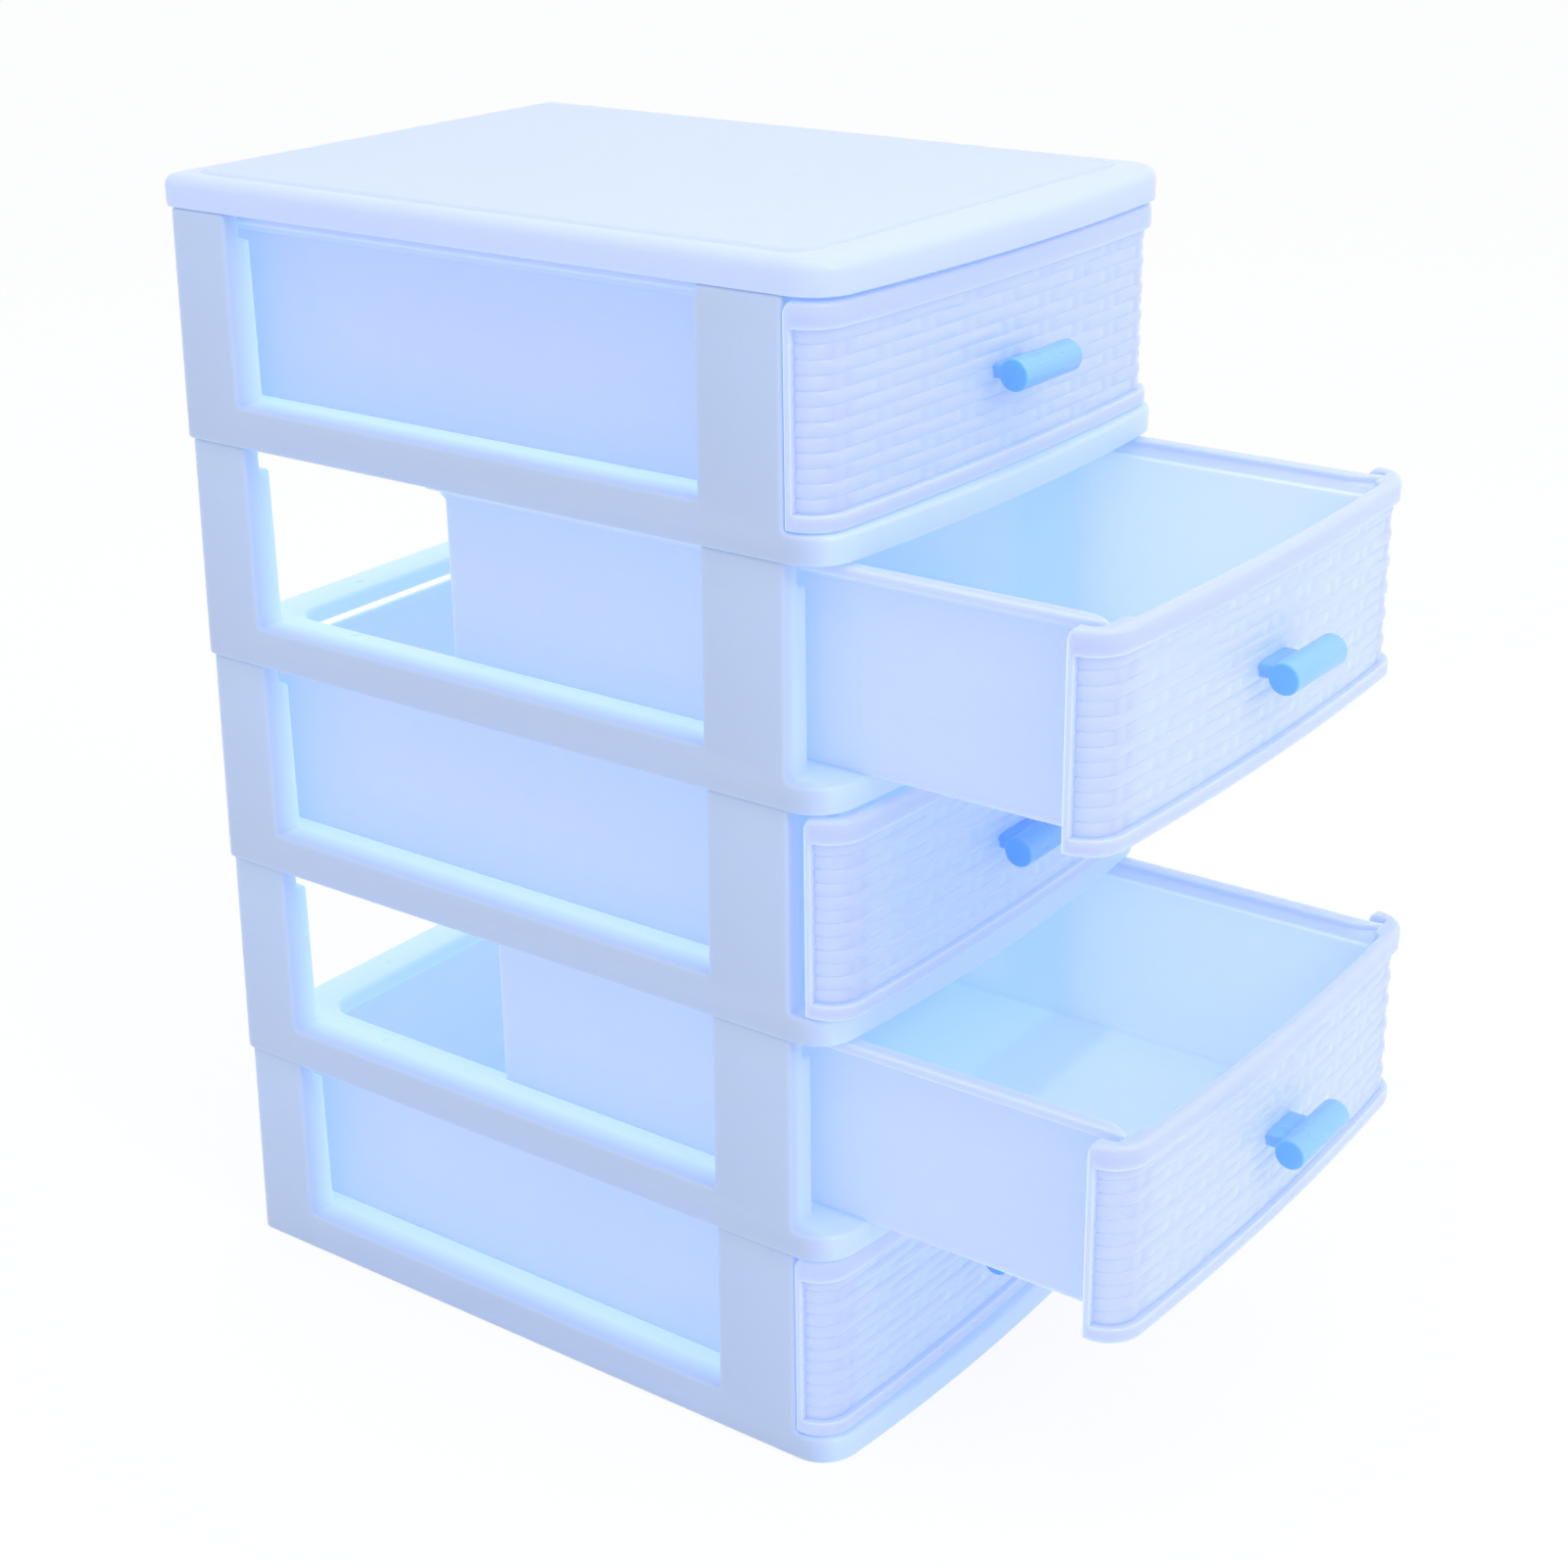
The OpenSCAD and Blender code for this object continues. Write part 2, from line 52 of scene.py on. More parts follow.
# how far, in mm, cutters run past what they cut
past = {"side": 99, "high": 99, "front": 300, "rear": 9, "deep": 9, "over": 5, "below": 5, "above": 20}
arcSteps = {"rearCorner": 6, "corner": 12, "bow": 16}
leastCorner = 0.4
# in degrees: turns that count as flat, and edges that are rounded
soften = {"segments": 3, "flat": 0.5, "angle": 40}
# in degrees: edges that stay sharp in the shading
smoothAngle = 32


def addLine(bm, vert, x, y):
    end = bmesh.ops.extrude_vert_indiv(bm, verts=[vert])["verts"][0]
    end.co.x, end.co.y = x, y
    return end


def addArc(bm, vert, centre, degrees, steps):
    turned = bmesh.ops.spin(bm, geom=[vert], cent=(*centre, vert.co.z), axis=(0, 0, 1),
                            angle=math.radians(degrees), steps=steps)
    return turned["geom_last"][0]


def bowRadius(width, bow):
    return (width * width / 4 + bow * bow) / (2 * bow)


def cornerCentre(plan):
    # how far ahead of the rear a front corner has its centre, and half the angle that the bow sweeps
    reach = plan["bowRadius"] - plan["corner"]
    across = plan["width"] / 2 - plan["corner"]
    return (plan["front"] - plan["bowRadius"] + math.sqrt(reach ** 2 - across ** 2),
            math.degrees(math.asin(across / reach)))


def bowedOutline(bm, plan, inset=0.0):
    # right half from the middle of the rear round to the middle of the bow, then its mirror image
    depth, sweep = cornerCentre(plan)
    half = plan["width"] / 2
    rear, rearCorner = plan["rear"] - inset, max(plan["rearCorner"] - inset, leastCorner)
    vert = bm.verts.new((0, rear, 0))
    vert = addLine(bm, vert, half - inset - rearCorner, rear)
    vert = addArc(bm, vert, (half - inset - rearCorner, rear - rearCorner), -90, arcSteps["rearCorner"])
    vert = addLine(bm, vert, half - inset, -depth)
    vert = addArc(bm, vert, (half - plan["corner"], -depth), sweep - 90, arcSteps["corner"])
    addArc(bm, vert, (0, plan["bowRadius"] - plan["front"]), -sweep, arcSteps["bow"])
    bmesh.ops.mirror(bm, geom=bm.verts[:] + bm.edges[:], axis="X", merge_dist=near["mirror"])


def roundedOutline(bm, low, high, corner, steps):
    vert = first = bm.verts.new((low[0] + corner, low[1], 0))
    corners = ((high[0] - corner, low[1] + corner), (high[0] - corner, high[1] - corner),
               (low[0] + corner, high[1] - corner), (low[0] + corner, low[1] + corner))
    for turn, centre in enumerate(corners):
        angle = math.radians(90 * turn - 90)
        vert = addLine(bm, vert, centre[0] + corner * math.cos(angle), centre[1] + corner * math.sin(angle))
        vert = addArc(bm, vert, centre, 90, steps)
    bmesh.ops.pointmerge(bm, verts=[first, vert], merge_co=first.co)


def raised(bm, low, high):
    # fills the outline that bm holds and raises it into a closed prism
    bmesh.ops.remove_doubles(bm, verts=bm.verts, dist=near["point"])
    base = bmesh.ops.contextual_create(bm, geom=bm.edges[:])["faces"]
    top = bmesh.ops.extrude_face_region(bm, geom=base, use_keep_orig=True)["geom"]
    bmesh.ops.translate(bm, vec=(0, 0, low), verts=bm.verts)
    bmesh.ops.translate(bm, vec=(0, 0, high - low), verts=[g for g in top if isinstance(g, bmesh.types.BMVert)])
    bmesh.ops.recalc_face_normals(bm, faces=bm.faces)
    return bm


def bowedPrism(plan, low, high, inset=0.0):
    bm = bmesh.new()
    bowedOutline(bm, plan, inset)
    return raised(bm, low, high)


def roundedPrism(low, high, corner):
    bm = bmesh.new()
    roundedOutline(bm, low[:2], high[:2], corner, arcSteps["rearCorner"])
    return raised(bm, low[2], high[2])


def block(low, high):
    bm = bmesh.new()
    size = Vector(high) - Vector(low)
    middle = (Vector(high) + Vector(low)) / 2
    bmesh.ops.create_cube(bm, size=1, matrix=Matrix.Translation(middle) @ Matrix.Diagonal((*size, 1)))
    return bm


def bothSides(bm):
    copied = bmesh.ops.duplicate(bm, geom=bm.verts[:] + bm.edges[:] + bm.faces[:])["geom"]
    verts = [g for g in copied if isinstance(g, bmesh.types.BMVert)]
    bmesh.ops.scale(bm, vec=(-1, 1, 1), verts=verts)
    bmesh.ops.reverse_faces(bm, faces=[g for g in copied if isinstance(g, bmesh.types.BMFace)])
    return bm


def asObject(bm, name):
    mesh = bpy.data.meshes.new(name)
    bm.to_mesh(mesh)
    bm.free()
    made = bpy.data.objects.new(name, mesh)
    bpy.context.scene.collection.objects.link(made)
    return made


def baked(obj):
    # the object's mesh with its modifiers applied
    bpy.context.view_layer.update()
    shape = obj.evaluated_get(bpy.context.evaluated_depsgraph_get())
    mesh = bpy.data.meshes.new_from_object(shape)
    obj.modifiers.clear()
    old, obj.data = obj.data, mesh
    bpy.data.meshes.remove(old)
    return obj


def combine(obj, bm, operation="DIFFERENCE"):
    tool = asObject(bm, "tool")
    step = obj.modifiers.new("combine", "BOOLEAN")
    step.operation, step.solver, step.object = operation, "MANIFOLD", tool
    baked(obj)
    bpy.data.objects.remove(tool)
    return obj


def footEdges(bm, height, front=-math.inf):
    # edges at the given height whose middle lies behind the front
    return [e for e in bm.edges if all(abs(v.co.z - height) < near["plane"] for v in e.verts)
            and (e.verts[0].co.y + e.verts[1].co.y) / 2 > front]


def softened(obj, width, footWidth):
    # rounds every sharp edge, the ones round the foot by less
    bm = bmesh.new()
    bm.from_mesh(obj.data)
    bmesh.ops.remove_doubles(bm, verts=bm.verts, dist=near["weld"])
    bmesh.ops.dissolve_limit(bm, angle_limit=math.radians(soften["flat"]), verts=bm.verts, edges=bm.edges)
    bmesh.ops.bevel(bm, geom=footEdges(bm, 0), offset=footWidth, segments=soften["segments"],
                    profile=0.5, affect="EDGES", material=-1)
    bm.to_mesh(obj.data)
    bm.free()
    step = obj.modifiers.new("soften", "BEVEL")
    step.width, step.segments = width, soften["segments"]
    step.limit_method, step.angle_limit = "ANGLE", math.radians(soften["angle"])
    step.use_clamp_overlap, step.miter_outer = False, "MITER_ARC"
    return baked(obj)


def smoothed(obj, angle=smoothAngle):
    obj.data.shade_smooth()
    obj.data.set_sharp_from_angle(angle=math.radians(angle))
    return obj


def placed(pattern, name, body, material, y=0.0, z=0.0):
    # a copy of a pattern mesh, set in its place in metres
    mesh = pattern.data.copy()
    mesh.name = name
    mesh.transform(Matrix.Scale(mm, 4) @ Matrix.Translation((0, y, z)))
    mesh.materials.clear()
    mesh.materials.append(material)
    piece = bpy.data.objects.new(name, mesh)
    bpy.context.scene.collection.objects.link(piece)
    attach(piece, body)
    return piece


class Signal:
    # a shader socket that Python's own operators work on
    def __init__(self, tree, socket):
        self.tree, self.socket = tree, socket

    def math(self, operation, *values):
        return addNode(self.tree, "ShaderNodeMath", {"operation": operation}, dict(enumerate(values)))

    def __add__(self, other):
        return self.math("ADD", self, other)

    def __sub__(self, other):
        return self.math("SUBTRACT", self, other)

    def __rsub__(self, other):
        return self.math("SUBTRACT", other, self)

    def __mul__(self, other):
        return self.math("MULTIPLY", self, other)

    __radd__, __rmul__ = __add__, __mul__


def addNode(tree, kind, settings=None, inputs=None, output=0):
    node = tree.nodes.new(kind)
    for key, value in (settings or {}).items():
        setattr(node, key, value)
    for key, value in (inputs or {}).items():
        if isinstance(value, Signal):
            tree.links.new(value.socket, node.inputs[key])
        else:
            node.inputs[key].default_value = value
    return Signal(tree, node.outputs[output]) if node.outputs else None


# glow is emission: painted light that stands for light passed on by thin, milky plastic. An inside's colour and glow,
# painted light on the inner faces, hold within limit of the middle plane and behind front, fading out over reach; in
# front of that, their share is ahead at most.
# lengths are in metres
plasticLooks = {
    "frame": {"colour": (0.44, 0.51, 0.675), "roughness": 0.42, "grain": 0.00010, "thin": 0.6, "depth": 0.003,
              "glow": (0.040, 0.070, 0.10),
              # painted light: the frame's faces within the posts glow far more than its outer sides
              "inside": {"colour": (0.46, 0.49, 0.76), "glow": (0.26, 0.43, 0.55), "limit": 0.0900, "reach": 0.010,
                         "front": 0.231, "ahead": 0.5}},
    "cover": {"colour": (0.57, 0.65, 0.88), "roughness": 0.34, "grain": 0.00008, "thin": 0.5, "depth": 0.002,
              "glow": (0.024, 0.048, 0.08)},
    "panel": {"colour": (0.55, 0.61, 0.86), "roughness": 0.60, "grain": 0.00016, "thin": 0.5, "depth": 0.002,
              "glow": (0.030, 0.066, 0.10)},
    "tray": {"colour": (0.435, 0.43, 0.71), "roughness": 0.34, "grain": 0.00008, "thin": 1.0, "depth": 0.006,
             "glow": (0.144, 0.25, 0.38),
             # painted light: the tray's faces within its side walls' outer faces, inner walls and floor among them,
             # take a much lighter colour
             "inside": {"colour": (0.71, 0.71, 0.93), "glow": (0.045, 0.12, 0.34), "limit": 0.0726, "reach": 0.0006,
                        "front": 0.5, "ahead": 0.0}},
    "front": {"colour": (0.40, 0.38, 0.67), "roughness": 0.36, "grain": 0.00008, "thin": 1.0, "depth": 0.006,
              "glow": (0.165, 0.28, 0.42)},
    "handle": {"colour": (0.15, 0.45, 0.95), "roughness": 0.28, "grain": 0.00006, "thin": 0.4, "depth": 0.003,
               "glow": (0.003, 0.022, 0.05),
               # painted shade: the handle's end faces keep the darker colour while the rest of the bar takes the
               # lighter one
               "inside": {"colour": (0.27, 0.54, 0.96), "glow": (0.003, 0.022, 0.05), "limit": 0.0151,
                          "reach": 0.0006, "front": 0.5, "ahead": 0.0}},
}
# what all the plastics share: the share of the colour that the darker tone keeps, and the detail of the skin
skinDetail = {
    "dark": 0.965, "driftScale": 14.0, "flowStretch": (9.0, 3.0, 30.0), "flowScale": 3.0, "flowTwist": 0.6,
    "driftShare": 0.6, "flowShare": 0.4, "speckScale": 42.0, "speckSize": 0.022, "sparseScale": 23.0,
    "sparseLevel": 0.60, "speckShare": 0.22, "speckColour": (0.30, 0.36, 0.58), "grainScale": 900.0,
    "grainShare": 0.25, "rippleScale": 38.0, "bumpStrength": 0.35, "bumpReach": 4, "roughnessSpread": 0.12,
    "ior": 1.49, "scatter": (0.8, 0.9, 1.0),
}


def plastic(name, look):
    # moulded plastic: slow drifts of tone, flow lines, a few dark specks and a fine grained skin
    material = bpy.data.materials.new(name)
    material.use_nodes = True
    tree = material.node_tree
    tree.nodes.clear()

    def mixed(factor, first, second):
        # 6, 7 and 2 are the colour sockets of the Mix node
        ends = [end if isinstance(end, Signal) else (*end, 1) for end in (first, second)]
        return addNode(tree, "ShaderNodeMix", {"data_type": "RGBA"}, {"Factor": factor, 6: ends[0], 7: ends[1]}, 2)

    def toned(colour):
        return mixed(wander, [skinDetail["dark"] * c for c in colour], colour)

    place = addNode(tree, "ShaderNodeTexCoord", output="Object")
    drift = addNode(tree, "ShaderNodeTexNoise", {}, {
        "Vector": place, "Scale": skinDetail["driftScale"], "Detail": 2.0})
    stretched = addNode(tree, "ShaderNodeMapping", {}, {"Vector": place, "Scale": skinDetail["flowStretch"]})
    flow = addNode(tree, "ShaderNodeTexNoise", {}, {
        "Vector": stretched, "Scale": skinDetail["flowScale"], "Detail": 3.0, "Distortion": skinDetail["flowTwist"]})
    wander = drift * skinDetail["driftShare"] + flow * skinDetail["flowShare"]
    # the glow paints light onto every face
    skin, glow = toned(look["colour"]), (*look["glow"], 1)
    if "inside" in look:
        # painted light: the faces away from the outer walls take the inside's colour and glow, as if they passed on
        # more light
        inside = look["inside"]
        across = addNode(tree, "ShaderNodeSeparateXYZ", {}, {"Vector": place})
        along = addNode(tree, "ShaderNodeSeparateXYZ", {}, {"Vector": place}, "Y")
        inward = (inside["limit"] - across.math("ABSOLUTE", across)) * (1 / inside["reach"])
        behind = (along + inside["front"]) * (1 / inside["reach"])
        behind = behind.math("MAXIMUM", behind, inside["ahead"])
        share = addNode(tree, "ShaderNodeMath", {"operation": "MINIMUM", "use_clamp": True}, {0: inward, 1: behind})
        skin = mixed(share, skin, toned(inside["colour"]))
        glow = mixed(share, look["glow"], inside["glow"])
    specks = addNode(tree, "ShaderNodeTexVoronoi", {}, {
        "Vector": place, "Scale": skinDetail["speckScale"], "Randomness": 1.0})
    sparse = addNode(tree, "ShaderNodeTexNoise", {}, {
        "Vector": place, "Scale": skinDetail["sparseScale"], "Detail": 0.0})
    dots = (specks.math("LESS_THAN", specks, skinDetail["speckSize"])
            * sparse.math("GREATER_THAN", sparse, skinDetail["sparseLevel"]))
    skin = mixed(dots * skinDetail["speckShare"], skin, skinDetail["speckColour"])
    grain = addNode(tree, "ShaderNodeTexNoise", {}, {
        "Vector": place, "Scale": skinDetail["grainScale"], "Detail": 2.0})
    ripple = addNode(tree, "ShaderNodeTexNoise", {}, {
        "Vector": place, "Scale": skinDetail["rippleScale"], "Detail": 1.0})
    height = grain * skinDetail["grainShare"] + ripple
    bump = addNode(tree, "ShaderNodeBump", {}, {
        "Height": height, "Strength": skinDetail["bumpStrength"],
        "Distance": look["grain"] * skinDetail["bumpReach"]})
    spread = skinDetail["roughnessSpread"]
    shader = addNode(tree, "ShaderNodeBsdfPrincipled", {}, {
        "Base Color": skin, "Roughness": flow * spread + (look["roughness"] - spread / 2), "Normal": bump,
        "IOR": skinDetail["ior"], "Subsurface Weight": look["thin"], "Subsurface Radius": skinDetail["scatter"],
        "Subsurface Scale": look["depth"], "Emission Color": glow, "Emission Strength": 1.0})
    addNode(tree, "ShaderNodeOutputMaterial", {}, {"Surface": shader})
    return material


plastics = {name: plastic(name + "Plastic", look) for name, look in plasticLooks.items()}
print("materials ready")

case = {
    "width": 180, "front": 249.7, "bowRadius": bowRadius(180, 5.2), "corner": 12.8, "rear": 0, "rearCorner": 4.5,
    "pitch": 71, "lean": 1, "wall": 2, "deck": 8.2, "rail": 12.8, "railInner": 73.5, "railFront": 227,
    "postInner": 78.7, "postFront": 231, "postBack": 202.4, "rearPost": 25.6,
    "opening": (-64.5, -187.7, 64.5, -15.3), "openingCorner": 9, "lip": 5.5,
    "notch": 3.8, "notchFloor": 62.2, "notchFront": 260, "notchOver": 1, "soft": 1.3, "footSoft": 0.6,
    # the posts lean in by lean over the pitch, beyond these distances across and along
    "leanFrom": (84, -6),
    # ejector marks: across, along and the height of the face they sit in
    "marks": ((27.5, -8.6, 8.2), (77.6, -56, 12.8), (77.6, -172, 12.8)), "markRadius": 1.7, "markDepth": 0.35,
    "markTaper": (0.7, 1.3), "markSides": 20,
}


def tierFramePattern():
    side, rear, front = past["side"], past["rear"], -past["front"]
    top, deck, rail, wall = case["pitch"] + past["over"], case["deck"], case["rail"], case["wall"]
    postFront, postBack, rearPost = -case["postFront"], -case["postBack"], -case["rearPost"]
    inner, railInner, railFront = case["postInner"], case["railInner"], -case["railFront"]
    body = asObject(bowedPrism(case, 0, case["pitch"]), "tierPattern")
    # the drawer's space, in two widths, and all that lies ahead of the posts
    for low, high in (((-railInner, railFront, deck), (railInner, rear, top)),
                      ((-inner, railFront, rail), (inner, rear, top)),
                      ((-inner, front, deck), (inner, railFront, top)),
                      ((-side, front, deck), (side, postFront, top)),
                      ((-side, postBack, rail), (side, rearPost, top))):
        combine(body, block(low, high))
    combine(body, bothSides(block((inner - case["notchOver"], -case["notchFront"], case["notchFloor"]),
                                  (inner + case["notch"], rear, top))))
    low, high = case["opening"][:2], case["opening"][2:]
    combine(body, roundedPrism((*low, -past["below"]), (*high, past["above"]), case["openingCorner"]))
    for vert in body.data.vertices:
        share = vert.co.z / case["pitch"] * case["lean"]
        if abs(vert.co.x) > case["leanFrom"][0]:
            vert.co.x -= math.copysign(share, vert.co.x)
        if vert.co.y > case["leanFrom"][1]:
            vert.co.y -= share
    softened(body, case["soft"], case["footSoft"])
    # the hollow under the plate, less the lip round the opening and the posts
    hollow = asObject(bowedPrism(case, -past["below"], deck - wall, wall), "hollow")
    combine(hollow, roundedPrism((low[0] - wall, low[1] - wall, deck - case["lip"]),
                                 (high[0] + wall, high[1] + wall, past["above"]), case["openingCorner"] + wall))
    for ahead, behind in ((rearPost, rear), (postFront, postBack)):
        combine(hollow, bothSides(block((inner, ahead, -past["deep"]), (side, behind, past["above"]))))
    # the hollow of the rails, and the sockets that take the pegs of the tier below
    outer = case["width"] / 2 - case["lean"] - wall
    combine(hollow, bothSides(block((railInner + wall, postBack, -past["below"]), (outer, rearPost, rail - wall))),
            "UNION")
    for ahead, behind in ((rearPost + wall, -wall - case["lean"]), (postFront + wall, postBack - wall)):
        combine(hollow, bothSides(block((inner + wall, ahead, -past["below"]),
                                        (outer, behind, case["notchFloor"] - wall))), "UNION")
    under = bmesh.new()
    under.from_mesh(hollow.data)
    bpy.data.objects.remove(hollow)
    combine(body, under)
    narrow, wide = (case["markRadius"] * share for share in case["markTaper"])
    for place in case["marks"]:
        mark = bmesh.new()
        bmesh.ops.create_cone(mark, cap_ends=True, segments=case["markSides"], radius1=narrow, radius2=wide,
                              depth=case["markDepth"] * 2, matrix=Matrix.Translation(place))
        combine(body, bothSides(mark))
    return smoothed(body)


framePattern = tierFramePattern()
for tier in tiers:
    name = f"tier_frame_{tier}"
    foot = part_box(name)[0].z / mm
    piece = placed(framePattern, f"tierFrame_{tier}", "case", plastics["frame"], z=foot)
    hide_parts(name)
bpy.data.objects.remove(framePattern)
print("tier frames built")

cover = {
    "width": 178.5, "front": 249.7, "bowRadius": bowRadius(178.5, 5.2), "corner": 13.4, "rear": 0.8,
    "rearCorner": 4.5, "height": 9.8, "round": 3.6, "wall": 2,
    "footRound": 0.8, "panelLow": (-82.75, -233.3), "panelHigh": (82.75, -5.5), "panelCorner": 9,
    "panelArc": 10, "panelSunk": 0.5, "panelRise": 0.8, "panelSlope": 2.2, "roundSteps": 6, "smooth": 40,
    # shares of the slope and parts of the rise of each step of the panel's edge
    "panelSteps": ((0.25, 0.08), (0.25, 0.3), (0.25, 0.3), (0.25, 0.1)), "panelParts": 0.78,
}


def coverPattern():
    height, wall = cover["height"], cover["wall"]
    bm = bowedPrism(cover, 0, height)
    rim = [e for e in bm.edges if all(v.co.z > height - near["plane"] for v in e.verts)]
    bmesh.ops.bevel(bm, geom=rim, offset=cover["round"], segments=cover["roundSteps"], profile=0.5, affect="EDGES",
                    material=-1)
    foot = [e for e in bm.edges if all(v.co.z < near["plane"] for v in e.verts)]
    bmesh.ops.bevel(bm, geom=foot, offset=cover["footRound"], segments=3, profile=0.5, affect="EDGES", material=-1)
    made = combine(asObject(bm, "coverPattern"), bowedPrism(cover, -past["below"], height - wall, wall))
    panel = bmesh.new()
    roundedOutline(panel, cover["panelLow"], cover["panelHigh"], cover["panelCorner"], cover["panelArc"])
    raised(panel, height - cover["panelSunk"], height)
    top = [f for f in panel.faces if f.calc_center_median().z > height - near["plane"]]
    for share, rise in cover["panelSteps"]:
        bmesh.ops.inset_region(panel, faces=top, thickness=cover["panelSlope"] * share, use_even_offset=True)
        bmesh.ops.translate(panel, vec=(0, 0, rise * cover["panelRise"] / cover["panelParts"]), verts=top[0].verts)
    return smoothed(made, cover["smooth"]), smoothed(asObject(panel, "panelPattern"), cover["smooth"])


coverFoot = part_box("top_cover")[0].z / mm
for shape, name, look in zip(coverPattern(), ("topCover", "topPanel"), ("cover", "panel")):
    piece = placed(shape, name, "case", plastics[look], z=coverFoot)
    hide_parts("top_cover")
    bpy.data.objects.remove(shape)
print("cover built")

tray = {
    "width": 146.4, "front": 243.3, "bowRadius": 1199, "corner": 0.6, "rear": -6.3, "rearCorner": 3,
    "bottom": 8.5, "top": 69.9, "wall": 1.6, "floor": 1.6, "wallTop": 65.0, "round": 2.4, "roundEnd": -240,
    "innerRound": 1.6, "innerCorner": 2.2,
    "rimInner": 75.0, "rimOuter": 79.9, "rimUnder": 66.6, "rimFront": 238.2, "tipRadius": 12.1, "rimSoft": 0.8,
    # the rim's inner edge starts and ends at these heights; only what is rimEdge above rimUnder draws in at the tip
    "rimStart": 68.2, "rimBend": 65.8, "rimEdge": 1.2, "tipLeft": 0.02, "rimStops": (60, 120, 180),
    "tipShares": (0.2, 0.4, 0.6, 0.75, 0.87, 0.95, 1),
    # the rim's root in the wall: its foot, and points set off from the wall's inner face and top
    "rootFoot": 62.0, "rootSet": (0.8, -0.7), "rootEdge": (-0.03, -0.05),
}


def sideRim():
    # the section of the right-hand rim, rounded, then drawn out from the rear until its inner edge meets its outer one
    inner, rimIn, rimOut = tray["width"] / 2 - tray["wall"], tray["rimInner"], tray["rimOuter"]
    (setX, setZ), (edgeX, edgeZ) = tray["rootSet"], tray["rootEdge"]
    root = ((inner + setX, tray["rootFoot"]), (inner + setX, tray["wallTop"] + setZ),
            (inner + edgeX, tray["wallTop"] + edgeZ))
    rim = ((rimIn, tray["rimStart"]), (rimIn, tray["top"]), (rimOut, tray["top"]), (rimOut, tray["rimUnder"]),
           (rimIn, tray["rimBend"]))
    bm = bmesh.new()
    section = bm.faces.new([bm.verts.new((x, tray["rear"], z)) for x, z in root + rim])
    rounded = [v for v in section.verts if v.co.z >= tray["rimUnder"] - near["plane"]]
    bmesh.ops.bevel(bm, geom=rounded, offset=tray["rimSoft"], segments=3, profile=0.5, affect="VERTICES",
                    material=-1)
    ends = bm.faces[:]
    radius = tray["tipRadius"]
    swing = math.sqrt(radius ** 2 - (radius - rimOut + rimIn) ** 2)
    swingStart = tray["rimFront"] - swing
    stops = [*tray["rimStops"], swingStart] + [swingStart + swing * share for share in tray["tipShares"]]
    for number, stop in enumerate(stops):
        moved = bmesh.ops.extrude_face_region(bm, geom=ends, use_keep_orig=True)["geom"]
        if number:
            bmesh.ops.delete(bm, geom=ends, context="FACES_ONLY")
        ends = [g for g in moved if isinstance(g, bmesh.types.BMFace)]
        reach = {"before": stops[number - 1] if number else swingStart, "after": stop}
        edge = {key: rimIn + radius - math.sqrt(radius ** 2 - max(value - swingStart, 0) ** 2)
                for key, value in reach.items()}
        for vert in ends[0].verts:
            vert.co.y = -stop
            if vert.co.z > tray["rimUnder"] + tray["rimEdge"]:
                share = (rimOut - vert.co.x) / (rimOut - edge["before"])
                vert.co.x = rimOut - share * (rimOut - edge["after"] - tray["tipLeft"])
    bmesh.ops.recalc_face_normals(bm, faces=bm.faces)
    return bothSides(bm)


def trayPattern():
    hull = bowedPrism(tray, tray["bottom"], tray["top"])
    bmesh.ops.bevel(hull, geom=footEdges(hull, tray["bottom"], tray["roundEnd"]), offset=tray["round"], segments=4,
                    profile=0.5, affect="EDGES", material=-1)
    body = asObject(hull, "trayPattern")
    inner, rear = tray["width"] / 2 - tray["wall"], tray["rear"] - tray["wall"]
    floor = tray["bottom"] + tray["floor"]
    side, high, ahead = past["side"], past["high"], -past["front"]
    room = roundedPrism((-inner, ahead, floor), (inner, rear, high), tray["innerCorner"])
    bmesh.ops.bevel(room, geom=footEdges(room, floor), offset=tray["innerRound"], segments=3, profile=0.5,
                    affect="EDGES", material=-1)
    combine(body, room)
    combine(body, block((-side, ahead, tray["wallTop"]), (side, rear, high)))
    combine(body, sideRim(), "UNION")
    return smoothed(body)


trayShape = trayPattern()
print("drawer tray built")

front = {
    "width": 177.8, "front": 246.6, "bowRadius": bowRadius(177.8, 3.3), "corner": 11.4, "rear": -231.5,
    "bottom": 8.6, "top": 70.0, "thick": 3.6, "boxInner": 71.6, "pocket": (84.4, -238.1),
    "fieldLow": 13.4, "fieldHigh": 62.7, "sideRim": 2.0, "topRound": 1.6, "footRound": 0.9, "step": 0.16,
    "innerTopRound": 0.8, "pocketEase": 3.0, "pocketPower": 5, "smooth": 45,
    # above and below the woven field: where the plain band ends, where the step starts, and how deep that is
    "bandSet": (0.35, 0.05, 0.2),
    # columns of points: clear of the field's end, just past it, and before the rear edge
    "fieldClear": 0.4, "rimSpread": (0.25, 0.9, 0.3),
    # the wings' rear edges: how far they fall away, and from how far below the top
    "wingFall": 2.4, "wingReach": 4,
}
weave = {
    "rows": 12, "depth": 2.5, "strand": 0.60, "stakePitch": 19.7, "stakes": 4, "stakeHalf": 2.2, "stakeRise": 0.22,
    "dive": 7.4, "lift": 0.34, "liftReach": 8.5, "roundness": 0.62, "columnsPerPitch": 18,
    "rowShares": (0.0, 0.06, 0.18, 0.34, 0.5, 0.66, 0.82, 0.94),
    # a stake's surface falls away between these distances from its edge
    "uprightEase": (-1.1, 0.9),
}


def eased(low, high, value):
    share = min(max((value - low) / (high - low), 0), 1)
    return share * share * (3 - 2 * share)


